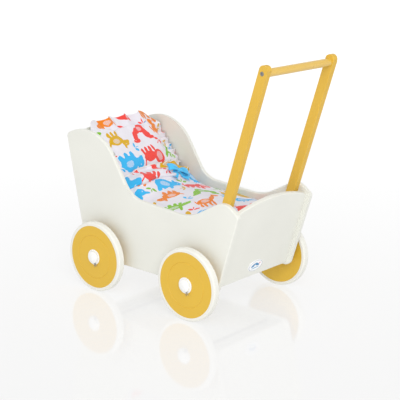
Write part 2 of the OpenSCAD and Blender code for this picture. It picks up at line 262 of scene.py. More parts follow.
def satin_paint(name, color, grain_along=None, gloss=0.42, coat=0.0):
    """Sprayed satin paint: clouded tint, orange-peel relief and, on wood, a faint grain under it."""
    net = Net(name)
    place = net.object_place()
    cloud = net.noise(place, 9.0, 3.0)
    fine = net.noise(place, 700.0, 2.0)
    tint = net.mix(net.ramp(cloud, 0.3, 0.7), shaded(color, 0.975), shaded(color, 1.015))
    height = net.math("MULTIPLY", fine, 0.35)
    if grain_along:
        lean = net.node("ShaderNodeMapping", {"Vector": place, "Rotation": (0, grain_along, 0),
                                              "Scale": (420.0, 420.0, 14.0)})
        grain = net.noise(lean.outputs[0], 1.0, 4.0, 0.6)
        tint = net.mix(net.ramp(grain, 0.35, 0.75), tint, shaded(color, 0.93))
        height = net.math("ADD", height, grain)
    rough = net.ramp(net.noise(place, 60.0, 2.0), 0.3, 0.7, gloss - 0.05, gloss + 0.06)
    net.surface(tint, rough, net.bump(height, 0.18, 0.0002), coat=coat, coat_roughness=0.12)
    return net.material


def rubber(name, color):
    """Soft white tyre rubber with a matt moulded skin and a little dust on it."""
    net = Net(name)
    place = net.object_place()
    dust = net.ramp(net.noise(place, 26.0, 5.0, 0.6), 0.45, 0.75)
    tint = net.mix(net.math("MULTIPLY", dust, 0.5), color, shaded(color, 0.93))
    skin = net.noise(place, 1500.0, 2.0)
    rough = net.ramp(dust, 0.0, 1.0, 0.5, 0.66)
    net.surface(tint, rough, net.bump(skin, 0.22, 0.00015), sheen=0.1)
    return net.material


def moulded_plastic(name, color):
    """White injection-moulded plastic with a fine spark-eroded texture."""
    net = Net(name)
    place = net.object_place()
    cloud = net.noise(place, 45.0, 2.0)
    tint = net.mix(cloud, shaded(color, 0.97), color)
    pits = net.noise(place, 2200.0, 1.0)
    net.surface(tint, net.ramp(cloud, 0.3, 0.7, 0.24, 0.34), net.bump(pits, 0.1, 0.0001))
    return net.material


def plated_steel(name, color):
    """Zinc-plated steel: blotchy plating and fine drawn lines."""
    net = Net(name)
    place = net.object_place()
    blotch = net.noise(place, 300.0, 3.0)
    lines = net.node("ShaderNodeMapping", {"Vector": place, "Scale": (900.0, 60.0, 900.0)})
    drawn = net.noise(lines.outputs[0], 1.0, 2.0)
    tint = net.mix(blotch, shaded(color, 0.75), shaded(color, 1.1))
    net.surface(tint, net.ramp(blotch, 0.3, 0.7, 0.26, 0.42), net.bump(drawn, 0.15, 0.0001), metallic=1.0)
    return net.material


def beech(name, color):
    """Bare beech dowel: pale wood with short dark flecks along its length."""
    net = Net(name)
    place = net.object_place()
    long = net.node("ShaderNodeMapping", {"Vector": place, "Scale": (500.0, 30.0, 500.0)})
    grain = net.noise(long.outputs[0], 1.0, 4.0, 0.65)
    fleck = net.ramp(grain, 0.58, 0.72)
    tint = net.mix(grain, shaded(color, 0.85), shaded(color, 1.1))
    tint = net.mix(net.math("MULTIPLY", fleck, 0.6), tint, shaded(color, 0.55))
    net.surface(tint, 0.6, net.bump(grain, 0.3, 0.0002))
    return net.material


# ---------------------------------------------------------------- cloth

ORANGE, GOLD, CORAL = linear("F08418"), linear("DDAE1C"), linear("F24A42")
GREEN, BLUE = linear("86C232"), linear("38B8F2")
COTTON_WHITE = linear("E9E6EE")

# Animals of the print, in mm. Each has its two colours, its ellipses (x, y, half width, half height,
# turn in degrees) and the ellipses of its paler, dotted patches.
ANIMALS = [
    ((ORANGE, GOLD), [
        (-3, 2, 14, 9.5), (12, 5, 8, 8), (19.5, -1, 3, 7, 14), (-13, -9, 3, 6), (-6, -9.5, 3, 6),
        (3, -9.5, 3, 6), (10, -8.5, 3, 6), (-18.5, 3, 1.2, 5.5, -25),
    ], [(7.5, 5, 4.6, 6, 10), (15.5, 8, 0.9, 0.9)]),
    ((BLUE, CORAL), [
        (-2, 0, 14, 9), (13, 3, 7, 6.5), (18, 0.5, 4, 5), (-11, -9, 3.4, 5), (-2.5, -9.5, 3.2, 5),
        (7, -9, 3.2, 5), (9.5, 9.5, 2.2, 2.6), (-17, 4, 3.2, 1.1, 35),
    ], [(-3, 1, 6, 4.4), (14, 5.5, 1, 1)]),
    ((CORAL, BLUE), [
        (-7, -1, 10, 6.5), (8, 3.5, 9, 9), (-14, -8.5, 2.2, 5), (-7.5, -9, 2.2, 5), (-1, -9, 2.2, 5),
        (5, -9, 2.2, 5), (-18, 5, 1.1, 5.5, 30), (-20.5, 10, 2.2, 2.4),
    ], [(8.5, 3, 5.2, 5.4), (6.6, 5, 0.8, 0.8), (10.8, 5, 0.8, 0.8)]),
    ((GREEN, GREEN), [
        (0, -2, 15, 5), (15, -0.5, 7, 3.4, 8), (-16, 0, 7.5, 2.2, -28), (-8, -8, 2.1, 4.4), (7, -8, 2.1, 4.4),
        (-9, 4, 2.2, 3, 15), (-3, 4.6, 2.2, 3, 8), (3, 4.6, 2.2, 3), (9, 4, 2, 2.6, -10),
    ], [(0, -2, 6, 2.6), (14.5, 1.6, 0.8, 0.8)]),
    ((ORANGE, BLUE), [
        (-5, -2, 9.5, 5.2), (5.5, 5, 2.8, 10, -28), (12, 13, 5, 2.7, -14), (-12, -10, 1.5, 6.5),
        (-7.5, -10, 1.5, 6.5), (-1.5, -10, 1.5, 6.5), (3, -9.5, 1.5, 6.5), (-15.5, -2, 0.9, 5, 20),
        (8.5, 16, 0.8, 2.4, 10),
    ], [(-5, -1.5, 5, 3), (13, 13.8, 0.7, 0.7)]),
    ((BLUE, GREEN), [
        (0, 0, 11, 8), (10, 7, 5.6, 5.2), (16.5, 6.5, 3.4, 1.7, -10), (-13, 4, 7.5, 3, -32),
        (-1, -10, 0.8, 4), (3.5, -10, 0.8, 4),
    ], [(-1.5, 0.8, 5.6, 3.8, -15), (11.5, 8.5, 1, 1)]),
    ((GOLD, ORANGE), [
        (-3, 1, 11, 6.8), (9.5, 6, 5.2, 4.6), (13.5, 4.5, 3, 2.5), (7, 11, 1.6, 3), (-10.5, -7, 2.3, 5),
        (-4.5, -7.5, 2.3, 5), (2, -7.5, 2.3, 5), (-14.5, 5, 1.1, 4.5, 35),
    ], [(-3.5, 2, 5, 3.4), (10, 7.4, 0.8, 0.8)]),
    ((GREEN, CORAL), [
        (-8, -3, 4.6, 9, -18), (-2.5, 5.5, 6, 5.6), (5, 3.6, 6.4, 4.4, -18), (11, -2, 3.8, 7.4, 14),
        (12.5, -8.5, 5.4, 2.8), (-12, -10.5, 4, 2.6, 20),
    ], [(-1, 5.5, 3.6, 2.8, 20), (14.5, -7.6, 0.8, 0.8)]),
]
SLOT_W, SLOT_H = 41, 33   # room of one animal
PRINT_SCALE = 1.8         # how much larger the print is than the numbers above


def slots(net, place, shift):
    """Place in the slot around it, and the slot's number pair. shift moves the slots, in slots."""
    cells = net.vec("ADD", net.vec("DIVIDE", place, (SLOT_W, SLOT_H, 1)), (shift, shift, 0))
    local = net.vec("MULTIPLY", net.vec("SUBTRACT", net.vec("FRACTION", cells), (0.5, 0.5, 0)),
                    (SLOT_W, SLOT_H, 0))
    return local, net.vec("FLOOR", cells)


def spun(net, place, angle):
    return net.node("ShaderNodeVectorRotate", {"Vector": place, "Angle": angle},
                    rotation_type="Z_AXIS").outputs[0]


def leaves(net, place):
    """Small leaf pairs where four slots meet, each with its own turn and colour: a mask and a colour."""
    local, number = slots(net, place, 0)
    dice = net.node("ShaderNodeTexWhiteNoise", {"Vector": number}, noise_dimensions="2D").outputs["Value"]
    tint = net.node("ShaderNodeValToRGB", {"Fac": dice})
    tint.color_ramp.interpolation = "CONSTANT"
    tint.color_ramp.elements[0].color = (*GREEN, 1)
    tint.color_ramp.elements[1].color = (*GOLD, 1)
    tint.color_ramp.elements[1].position = 0.75
    for position, color in ((0.25, BLUE), (0.5, CORAL)):
        tint.color_ramp.elements.new(position).color = (*color, 1)
    turned = spun(net, local, net.math("MULTIPLY", dice, 40.0))
    mask = net.inside(turned, [(-3.6, 1, 3.4, 1.5, 28), (3.6, 1, 3.4, 1.5, -28), (0, -1.6, 0.7, 3)])
    return mask, tint.outputs["Color"]


def animal_print(net, cloth):
    """Colour of the animal print. cloth is the place on the cloth in mm."""
    flat = net.vec("MULTIPLY", cloth, (1 / PRINT_SCALE, 1 / PRINT_SCALE, 0))
    wobble = net.node("ShaderNodeTexNoise", {"Vector": flat, "Scale": 0.16, "Detail": 1.0})
    offset = net.scaled(net.vec("SUBTRACT", wobble.outputs["Color"], (0.5, 0.5, 0.5)), 3.2)
    place = net.vec("MULTIPLY", net.vec("ADD", flat, offset), (1, 1, 0))
    dots = net.node("ShaderNodeTexVoronoi", {"Vector": place, "Scale": 0.62, "Randomness": 0.2})
    pale = net.ramp(dots.outputs["Distance"], 0.3, 0.45, 0.75, 0.3)
    mask, tint = leaves(net, place)
    color = net.mix(mask, COTTON_WHITE, tint)
    local, number = slots(net, place, 0.5)
    dice = net.node("ShaderNodeTexWhiteNoise", {"Vector": number}, noise_dimensions="2D").outputs["Value"]
    parts = net.node("ShaderNodeSeparateXYZ", {0: number})
    which = net.math("FLOORED_MODULO", net.math("MULTIPLY_ADD", parts.outputs[1], 3.0, parts.outputs[0]),
                     len(ANIMALS))
    turned = net.math("GREATER_THAN", dice, 0.5)
    tilt = net.math("MULTIPLY_ADD", net.math("FRACT", net.math("MULTIPLY", dice, 17.0)), 0.5, -0.25)
    local = spun(net, local, net.math("MULTIPLY_ADD", turned, math.pi, tilt))
    for index, (tints, shape, patches) in enumerate(ANIMALS):
        chosen = net.math("COMPARE", which, index, 0.5)
        mask = net.math("MULTIPLY", net.inside(local, shape), chosen)
        patch = net.math("MULTIPLY", net.inside(local, patches), pale)
        ink = net.mix(patch, net.mix(turned, *tints), COTTON_WHITE)
        color = net.mix(mask, color, ink)
    return color


def cotton(net, cloth, color, sheen=0.22):
    """Finishes a woven cotton: plain weave, soft creases darkened in their hollows as painted shading, and
    slightly uneven thread tone. cloth is in mm.
    """
    place = net.object_place()
    thread = net.vec("SINE", net.scaled(cloth, 2 * math.pi / 0.6))
    threads = net.node("ShaderNodeSeparateXYZ", {0: thread})
    weave = net.math("MULTIPLY", threads.outputs[0], threads.outputs[1])
    crease = net.noise(place, 55.0, 3.0, 0.55)
    slub = net.noise(net.vec("MULTIPLY", cloth, (0.12, 2.2, 1)), 1.0, 2.0)
    # The slub noise gives the real uneven thread tone; the crease noise, which also drives the bump, darkens
    # the low places of the creases as painted shading.
    thread_tone_and_crease_shade = net.math("MULTIPLY", net.ramp(slub, 0.3, 0.7, 0.965, 1.0), net.ramp(crease, 0.3, 0.7, 0.97, 1.0))
    thread_tone_and_crease_shade_rgb = net.node("ShaderNodeCombineXYZ", {0: thread_tone_and_crease_shade, 1: thread_tone_and_crease_shade, 2: thread_tone_and_crease_shade})
    tint = net.mix(1.0, color, thread_tone_and_crease_shade_rgb.outputs[0], "MULTIPLY")
    height = net.math("MULTIPLY_ADD", weave, 0.12, crease)
    net.surface(tint, 0.86, net.bump(height, 0.55, 0.0012), sheen=sheen, sheen_roughness=0.5, specular=0.25)


def printed_cotton():
    """White cotton with the animal print."""
    net = Net("animal_print_cotton")
    cloth = net.attribute("cloth")
    cotton(net, cloth, animal_print(net, cloth))
    return net.material


def plain_cotton():
    """Undyed white cotton of the mattress and the piping."""
    net = Net("white_cotton")
    cotton(net, net.attribute("cloth"), linear("F4F2F0"))
    return net.material


def satin(name, color):
    """Woven satin ribbon: fine lines along it and a soft gloss."""
    net = Net(name)
    cloth = net.attribute("cloth")
    lines = net.node("ShaderNodeSeparateXYZ", {0: net.vec("SINE", net.scaled(cloth, 2 * math.pi / 0.8))})
    fold_relief_and_painted_light = net.noise(net.object_place(), 160.0, 2.0)
    # The fold noise, which also raises the bump, darkens the ribbon in the fold hollows and lightens it on
    # the crests: painted shading and painted highlight.
    tint = net.mix(net.ramp(fold_relief_and_painted_light, 0.3, 0.7), shaded(color, 0.82), shaded(color, 1.06))
    rough = net.ramp(fold_relief_and_painted_light, 0.3, 0.7, 0.3, 0.42)
    net.surface(tint, rough, net.bump(net.math("ADD", lines.outputs[1], fold_relief_and_painted_light), 0.12, 0.0004), sheen=0.3,
                specular=0.6, anisotropic=0.5)
    return net.material


# ---------------------------------------------------------------- mesh helpers

def add_piece(name, mesh, material, body, slot, replaces=(), sharp=35):
    data = bpy.data.meshes.new(name)
    if isinstance(mesh, bmesh.types.BMesh):
        mesh.to_mesh(data)
        mesh.free()
    else:
        data.from_pydata(mesh[0], [], mesh[1])
    piece = bpy.data.objects.new(name, data)
    bpy.context.scene.collection.objects.link(piece)
    data.materials.clear()
    data.materials.append(material)
    smooth_shading(data, sharp)
    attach(piece, body)
    if replaces:
        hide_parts(*replaces)
    return piece


def smooth_shading(data, sharp):
    """Smooth faces with sharp edges where they meet at more than sharp degrees."""
    mesh = bmesh.new()
    mesh.from_mesh(data)
    bmesh.ops.recalc_face_normals(mesh, faces=mesh.faces)
    for face in mesh.faces:
        face.smooth = True
    for edge in mesh.edges:
        edge.smooth = len(edge.link_faces) == 2 and edge.calc_face_angle(0) < math.radians(sharp)
    mesh.to_mesh(data)
    mesh.free()


def modify(piece, kind, name, **settings):
    """Adds a modifier with its settings."""
    made = piece.modifiers.new(name, kind)
    for key, value in settings.items():
        setattr(made, key, value)
    return made


def even_normals(piece):
    """Shades flat faces flat where rounded edges meet them."""
    modify(piece, "WEIGHTED_NORMAL", "even_normals", keep_sharp=True, weight=100)


def whole_faces(node):
    """A bmesh of a CAD node with its flat faces in one piece each."""
    mesh = bmesh.new()
    mesh.from_mesh(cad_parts[node].data)
    bmesh.ops.remove_doubles(mesh, verts=mesh.verts, dist=SAME_POINT)
    bmesh.ops.dissolve_limit(mesh, angle_limit=math.radians(0.2), verts=mesh.verts, edges=mesh.edges)
    mesh.normal_update()
    return mesh


def outer_wall(mesh, across):
    """Faces of the largest connected wall along the direction across: the board's own outline."""
    walls = {face for face in mesh.faces if abs(face.normal.dot(across)) < 0.3}
    largest, largest_area = set(), 0
    while walls:
        island, edge_of = set(), [walls.pop()]
        while edge_of:
            face = edge_of.pop()
            island.add(face)
            for near in {n for e in face.edges for n in e.link_faces} & walls:
                walls.discard(near)
                edge_of.append(near)
        area = sum(face.calc_area() for face in island)
        if area > largest_area:
            largest, largest_area = island, area
    return largest


def eased_board(node, radius, material, slot, butt_y=None):
    """Copy of a CAD board whose outline edges are rounded. Edges at butt_y, where it meets another
    board, stay square."""
    mesh = whole_faces(node)
    broad = max(mesh.faces, key=lambda face: face.calc_area())
    least_broad = broad.calc_area() / 2
    wall = outer_wall(mesh, broad.normal.copy())
    rims = [
        edge for edge in {e for face in wall for e in face.edges}
        if any(f.calc_area() > least_broad for f in edge.link_faces if f not in wall)
        and not (butt_y and all(abs(v.co.y) > butt_y - 0.1 * MM for v in edge.verts))
    ]
    bmesh.ops.bevel(mesh, geom=rims, offset=radius, segments=5, profile=0.5, affect="EDGES",
                    clamp_overlap=False, loop_slide=True)
    piece = add_piece("eased_" + node, mesh, material, "root", slot, [node])
    even_normals(piece)
    return piece


def ease_cad(node, radius, material):
    """Gives a CAD node its material and slightly rounded edges, by modifiers only."""
    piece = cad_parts[node]
    piece.data.materials.clear()
    piece.data.materials.append(material)
    for face in piece.data.polygons:
        face.use_smooth = False
    if radius:
        modify(piece, "WELD", "weld", merge_threshold=SAME_POINT)
        modify(piece, "DECIMATE", "whole_faces", decimate_type="DISSOLVE", angle_limit=math.radians(0.5))
        modify(piece, "BEVEL", "eased", width=radius, segments=2, limit_method="ANGLE",
               angle_limit=math.radians(40))
    return piece


def filleted(corners, steps=6):
    """Closed outline with every corner (x, y, r) rounded by its own radius."""
    outline = []
    for i, (x, y, r) in enumerate(corners):
        here = Vector((x, y))
        if r == 0:
            outline.append(here)
            continue
        u = (Vector(corners[i - 1][:2]) - here).normalized()
        v = (Vector(corners[(i + 1) % len(corners)][:2]) - here).normalized()
        half = u.angle(v) / 2
        centre = here + (u + v).normalized() * r / math.sin(half)
        start = here + u * r / math.tan(half) - centre
        end = here + v * r / math.tan(half) - centre
        turn = (math.pi - 2 * half) * (1 if start.x * end.y > start.y * end.x else -1)
        for k in range(steps + 1):
            c, s = math.cos(turn * k / steps), math.sin(turn * k / steps)
            outline.append(centre + Vector((start.x * c - start.y * s, start.x * s + start.y * c)))
    return outline


def lathe(outline, centre, side, steps=144):
    """Points and faces of a closed outline of (radius, outward) turned about a wheel's axle."""
    points, faces, count = [], [], len(outline)
    for i in range(steps):
        c, s = math.cos(2 * math.pi * i / steps), math.sin(2 * math.pi * i / steps)
        points += [(centre.x + p.x * c, centre.y + side * p.y, centre.z + p.x * s) for p in outline]
    for i in range(steps):
        here, after = i * count, (i + 1) % steps * count
        for k in range(count):
            n = (k + 1) % count
            faces.append((here + k, here + n, after + n, after + k))
    return points, faces


def ring_faces(rings, around):
    """Faces of a closed body made of rings, each of around points, with both ends covered."""
    faces = []
    for i in range(rings - 1):
        for k in range(around):
            n = (k + 1) % around
            faces.append((i * around + k, i * around + n, (i + 1) * around + n, (i + 1) * around + k))
    faces.append(tuple(range(around)))
    faces.append(tuple((rings - 1) * around + k for k in reversed(range(around))))
    return faces


def layer_faces(rows, cols, first=0):
    """Faces of a closed body between two grids of points of the same size, which start at first."""
    layer, faces = rows * cols, []
    for i in range(rows - 1):
        for j in range(cols - 1):
            a = i * cols + j
            quad = (a, a + 1, a + cols + 1, a + cols)
            faces += [quad, tuple(layer + k for k in reversed(quad))]
    rim = [i * cols for i in range(rows)] + [(rows - 1) * cols + j for j in range(1, cols)]
    rim += [i * cols + cols - 1 for i in range(rows - 2, -1, -1)] + list(range(cols - 2, 0, -1))
    faces += [(a, b, layer + b, layer + a) for a, b in zip(rim, rim[1:] + rim[:1])]
    return [tuple(first + k for k in face) for face in faces]


# ---------------------------------------------------------------- soft meshes

def lay_cloth(piece, profile, half_w, start=(0, 0), turn=0):
    """Place on the cloth of each point of a soft piece, in mm, as its "cloth" attribute: along an X-Z
    profile of (x, z) stations and across it, and on down its two sides."""
    points = point_array(piece.data)
    line = np.array([station(*p)[:] for p in profile])
    nearest = np.full(len(points), np.inf)
    along = np.zeros(len(points))
    run = 0.0
    for a, b in zip(line[:-1], line[1:]):
        step = (b - a)[[0, 2]]
        length = np.linalg.norm(step)
        t = np.clip((points[:, [0, 2]] - a[[0, 2]]) @ step / length ** 2, 0, 1)
        away = np.linalg.norm(points[:, [0, 2]] - a[[0, 2]] - t[:, None] * step, axis=1)
        closer = away < nearest
        nearest[closer] = away[closer]
        along[closer] = run + t[closer] * length
        run += length
    y = points[:, 1]
    on_side = np.clip((np.abs(y) - half_w + 12 * MM) / (9 * MM), 0, 1)
    across = y + np.sign(y) * nearest * on_side
    set_cloth(piece.data, np.column_stack((across, -along)) / MM + np.array(start), turn)


def set_cloth(data, places, turn=0, name="cloth"):
    """Writes places on the cloth, in mm and turned by turn degrees, as an attribute of the mesh."""
    c, s = math.cos(math.radians(turn)), math.sin(math.radians(turn))
    turned = places @ np.array(((c, s), (-s, c)))
    made = data.attributes.new(name, "FLOAT_VECTOR", "POINT")
    flat = np.column_stack((turned, np.zeros(len(places))))
    made.data.foreach_set("vector", flat.astype(np.float32).ravel())


def point_array(data):
    points = np.empty(len(data.vertices) * 3, np.float32)
    data.vertices.foreach_get("co", points)
    return points.reshape(-1, 3).astype(float)


def normal_array(data):
    return np.array([v.normal[:] for v in data.vertices])


def set_points(data, points):
    data.vertices.foreach_set("co", points.astype(np.float32).ravel())
    data.update()


def evaluated(piece):
    """New mesh of a piece with its modifiers applied."""
    graph = bpy.context.evaluated_depsgraph_get()
    return bpy.data.meshes.new_from_object(piece.evaluated_get(graph))


SOFT_INSET, SOFT_VOXEL = 2.6 * MM, 5 * MM


def soft_start(node, rounds):
    """Even mesh of a soft CAD node with rounded edges, a little smaller than the node."""
    piece = bpy.data.objects.new("soft_start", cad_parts[node].data.copy())
    bpy.context.scene.collection.objects.link(piece)
    modify(piece, "WELD", "weld", merge_threshold=SAME_POINT)
    modify(piece, "REMESH", "remesh", mode="VOXEL", voxel_size=SOFT_VOXEL)
    modify(piece, "SMOOTH", "smooth", iterations=rounds)
    data = evaluated(piece)
    bpy.data.objects.remove(piece)
    set_points(data, point_array(data) - SOFT_INSET * normal_array(data))
    return data


SWELL_FRAMES = 20
SWELL_SETTINGS = {
    "use_pressure": True,
    "uniform_pressure_force": 4.0,
    "tension_stiffness": 12,
    "compression_stiffness": 8,
    "shear_stiffness": 4,
    "bending_stiffness": 0.15,
    "quality": 6,
}


def cloth_swollen(piece, slack):
    """Points of a piece after a cloth simulation with air pressure inside it and no gravity."""
    cloth = piece.modifiers.new("cloth", "CLOTH")
    for key, value in SWELL_SETTINGS.items():
        setattr(cloth.settings, key, value)
    cloth.settings.shrink_min = -slack
    cloth.settings.effector_weights.gravity = 0
    cloth.point_cache.frame_start = 1
    cloth.point_cache.frame_end = SWELL_FRAMES
    scene = bpy.context.scene
    for number in range(1, SWELL_FRAMES + 1):
        scene.frame_set(number)
    points = point_array(evaluated(piece))
    piece.modifiers.remove(cloth)
    scene.frame_set(1)
    return points


def swell(piece, open_to, cap, held, slack=0.06):
    """Puffs a piece up with a cloth simulation. It stands out by up to cap towards the directions in
    open_to, each with its own share, and by held elsewhere."""
    most_inward, most_along = 5 * MM, 3 * MM
    data = piece.data
    rest = point_array(data)
    normals = normal_array(data)
    moved = cloth_swollen(piece, slack)
    room = np.full(len(rest), held)
    for direction, share in open_to:
        facing = np.clip(normals @ np.array(direction) * 1.6 - 0.35, 0, 1)
        room = np.maximum(room, held + (cap * share - held) * facing)
    step = moved - rest
    outward = np.einsum("ij,ij->i", step, normals)
    along = step - outward[:, None] * normals
    length = np.linalg.norm(along, axis=1)
    along *= (np.minimum(length, most_along) / np.maximum(length, 1e-9))[:, None]
    kept = np.clip(outward, -most_inward, room)
    set_points(data, rest + kept[:, None] * normals + along)


def crumple(piece, size, depth):
    """Moves points along their normals by slow noise: the uneven filling of a padded piece."""
    data = piece.data
    points = point_array(data)
    push = np.array([noise.fractal(Vector(p) / size, 0.8, 2.0, 2) for p in points])
    set_points(data, points + (depth * push)[:, None] * normal_array(data))


def board_face(node):
    """A point on an end board's inner face, and the direction from it into the tub."""
    mesh = whole_faces(node)
    into = Vector((STATION_X - middle(node).x, 0, 0)).normalized()
    face = max((f for f in mesh.faces if f.normal.dot(into) > 0.5), key=lambda f: f.calc_area())
    found = np.array(face.calc_center_median()), np.array(face.normal)
    mesh.free()
    return found


def keep_in_tub(piece, gap=0.5 * MM):
    """Brings points of a soft piece back between the side boards and the end boards."""
    points = point_array(piece.data)
    points[:, 1] = np.clip(points[:, 1], gap - INNER_Y, INNER_Y - gap)
    for node in ("head_panel", "foot_panel"):
        at, into = board_face(node)
        short = np.minimum((points - at) @ into - gap, 0)
        points -= short[:, None] * into
    set_points(piece.data, points)


def soft_piece(name, node, material, slot, rounds):
    """Starts a padded piece from its soft CAD node."""
    mesh = bmesh.new()
    mesh.from_mesh(soft_start(node, rounds))
    return add_piece(name, mesh, material, "bedding", slot, [node], sharp=100)


def subdivide(piece):
    """One round of subdivision, applied."""
    finer = modify(piece, "SUBSURF", "finer", levels=1, render_levels=1)
    piece.data = evaluated(piece)
    piece.modifiers.remove(finer)


def thick_strips(grids, thickness):
    """Closed mesh of thin cloth from grids of middle points, each an array (along, across, 3)."""
    points, faces = [], []
    for grid in grids:
        normal = np.cross(np.gradient(grid, axis=0), np.gradient(grid, axis=1))
        normal /= np.maximum(np.linalg.norm(normal, axis=2, keepdims=True), 1e-12)
        faces += layer_faces(*grid.shape[:2], len(points))
        for side in (1, -1):
            points.extend(map(tuple, (grid + side * thickness / 2 * normal).reshape(-1, 3)))
    return points, faces


def run_along(line):
    """Distance of each point of a line from its start, in mm."""
    return np.concatenate(([0], np.cumsum(np.linalg.norm(np.diff(line, axis=0), axis=1)))) / MM


def strip_cloth(grids, width_mm, start=(0, 0)):
    """Places on the cloth for thick_strips: along each grid's middle line, and across it."""
    places = []
    for grid in grids:
        cols = grid.shape[1]
        run = run_along(grid[:, cols // 2]) + start[0]
        across = np.linspace(0, width_mm, cols) + start[1]
        flat = np.stack(np.meshgrid(run, across, indexing="ij"), axis=2).reshape(-1, 2)
        places += [flat, flat]
    return np.vstack(places)


# ---------------------------------------------------------------- tub and handle

def make_tub(paint):
    for side in ("left", "right"):
        eased_board(f"side_panel_{side}", 2.8 * MM, paint, "white_board")
    for end in ("foot", "head"):
        eased_board(f"{end}_panel", 2.6 * MM, paint, "white_board", butt_y=INNER_Y)
    ease_cad("floor_board", 0.4 * MM, paint)


def make_handle(paint, lacquer, steel):
    for side in ("left", "right"):
        eased_board(f"handle_bar_{side}", 1.6 * MM, paint, "yellow_wood")
    grip = ease_cad("handle_grip", 0, lacquer)
    grip.data.shade_smooth()
    for node in ("grip_screws", "handle_bolts"):
        ease_cad(node, 0.25 * MM, steel)


# ---------------------------------------------------------------- wheels

def wheel_frame(name, side):
    """Middle of a wheel disc's inner face, and the disc's thickness and radius."""
    low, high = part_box(f"wheel_disc_{name}")
    centre = middle(f"wheel_disc_{name}")
    centre.y = high.y if side < 0 else low.y
    return centre, high.y - low.y, (high.x - low.x) / 2


def make_wheel(end, side, paint, tyre_rubber, plastic):
    """One wheel: a disc with a turned ring groove, a tyre and a hub bush with its flange."""
    name = f"{end}_{'left' if side < 0 else 'right'}"
    centre, thick, radius = wheel_frame(name, side)

    def turned(piece_name, corners, material, slot, node, fillet_steps=6, steps=144):
        outline = filleted(corners, fillet_steps)
        even_normals(add_piece(f"{piece_name}_{name}", lathe(outline, centre, side, steps), material,
                               f"wheel_{name}", slot, [f"{node}_{name}"]))

    groove_r, groove_half, groove_d = 46.5 * MM, 0.9 * MM, 0.6 * MM
    bush_r, bore_r = 6.0 * MM, 3.07 * MM
    turned("turned_disc", [
        (bush_r, 0, 0),
        (radius, 0, 0.2 * MM),
        (radius, thick, 0.15 * MM),
        (groove_r + groove_half, thick, 0.3 * MM),
        (groove_r + 0.1 * MM, thick - groove_d, 0.1 * MM),
        (groove_r - 0.1 * MM, thick - groove_d, 0.1 * MM),
        (groove_r - groove_half, thick, 0.3 * MM),
        (bush_r, thick, 0),
    ], paint, "yellow_board", "wheel_disc")

    low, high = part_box(f"tyre_{name}")
    outer, lip = (high.x - low.x) / 2, (high.y - low.y - thick) / 2
    turned("moulded_tyre", [
        (radius, -lip, 0.1 * MM),
        (outer, -lip, 3.8 * MM),
        (outer, thick + lip, 3.8 * MM),
        (radius, thick + lip, 0.1 * MM),
    ], tyre_rubber, "white_rubber", "tyre", fillet_steps=10)

    low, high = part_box(f"hub_bush_{name}")
    flange_r, flange_y = (high.x - low.x) / 2, high.y - low.y
    turned("flanged_bush", [
        (bore_r, 0, 0),
        (bush_r, 0, 0.4 * MM),
        (bush_r, thick, 0),
        (flange_r, thick, 0.3 * MM),
        (flange_r, flange_y, 1.1 * MM),
        (bore_r, flange_y, 0.3 * MM),
    ], plastic, "white_plastic", "hub_bush", steps=96)


# ---------------------------------------------------------------- bedding

SLOPE_DOWN = Vector((0.740, 0, -0.673))     # down the raised end of the duvet, towards the handle
SLOPE_OUT = Vector((0.673, 0, 0.740))       # away from it
CREST = station(-109, 251)                  # top of the raised end
BOW_Y, BOW_DOWN = 42 * MM, 36 * MM          # place of the bow, across and down from the crest
BOW_TURN = math.radians(-24)
# Outlines of the two printed pieces in the X-Z plane, as stations, along which the print is laid
PILLOW_PROFILE = [(-125, 129), (-122, 246), (-202, 336), (-236, 322)]
DUVET_PROFILE = [(-124, 129), (-121, 250), (-104, 256), (-48, 203), (190, 199)]
FLAP_HALF_W, FLAP_BEHIND, FLAP_THICK = 111 * MM, 4 * MM, 8 * MM
FRILL_FOOT = station(-128, 236)             # lowest place of the frill's own plane
FRILL_LEAN = math.radians(40)
FRILL_SIDE, FRILL_CORNER = 104 * MM, 24 * MM
FRILL_THICK, BOW_THICK = 0.9 * MM, 0.5 * MM


def make_mattress(material):
    """Flat foam mattress."""
    piece = soft_piece("foam_mattress", "mattress", material, "plain_cotton", rounds=6)
    swell(piece, [((0, 0, 1), 1.0)], 4 * MM, held=1.5 * MM, slack=0.02)
    keep_in_tub(piece)
    subdivide(piece)
    lay_cloth(piece, [(-210, 128), (175, 128)], INNER_Y)


def make_pillow(material):
    """Full pillow that leans on the head board, puckered along the seams of its frill."""
    half_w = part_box("pillow")[1].y
    piece = soft_piece("printed_pillow", "pillow", material, "print_cotton", rounds=14)
    slope = Vector((90, 0, 80)).normalized()
    swell(piece, [(slope, 1.0), ((0, 1, 0), 0.35), ((0, -1, 0), 0.35)], 12 * MM, held=1 * MM)
    crumple(piece, 52 * MM, 2.8 * MM)
    subdivide(piece)
    pucker_pillow(piece, half_w)
    keep_in_tub(piece)
    lay_cloth(piece, PILLOW_PROFILE, half_w, start=(-36, 18), turn=4)
    return piece


def pucker_pillow(piece, half_w):
    """Small creases that run in from the two side seams and the top seam."""
    data = piece.data
    points = point_array(data)
    normals = normal_array(data)
    foot, head = np.array(station(*PILLOW_PROFILE[1])), np.array(station(*PILLOW_PROFILE[2]))
    length = np.linalg.norm(head - foot)
    height = (points - foot) @ (head - foot) / length
    from_side = np.maximum(half_w - np.abs(points[:, 1]), 0)
    from_top = np.maximum(length - height, 0)
    uneven = 2.5 * np.array([noise.noise(Vector(p) / 0.03) for p in points])
    side = np.sin(2 * math.pi * height / (15 * MM) + uneven) * np.exp(-from_side / (15 * MM))
    top = np.sin(2 * math.pi * points[:, 1] / (26 * MM) + uneven) * np.exp(-from_top / (20 * MM))
    front = np.clip(normals[:, 0] * 2, 0, 1)
    set_points(data, points + (front * (2.1 * side + 3.3 * top) * MM)[:, None] * normals)


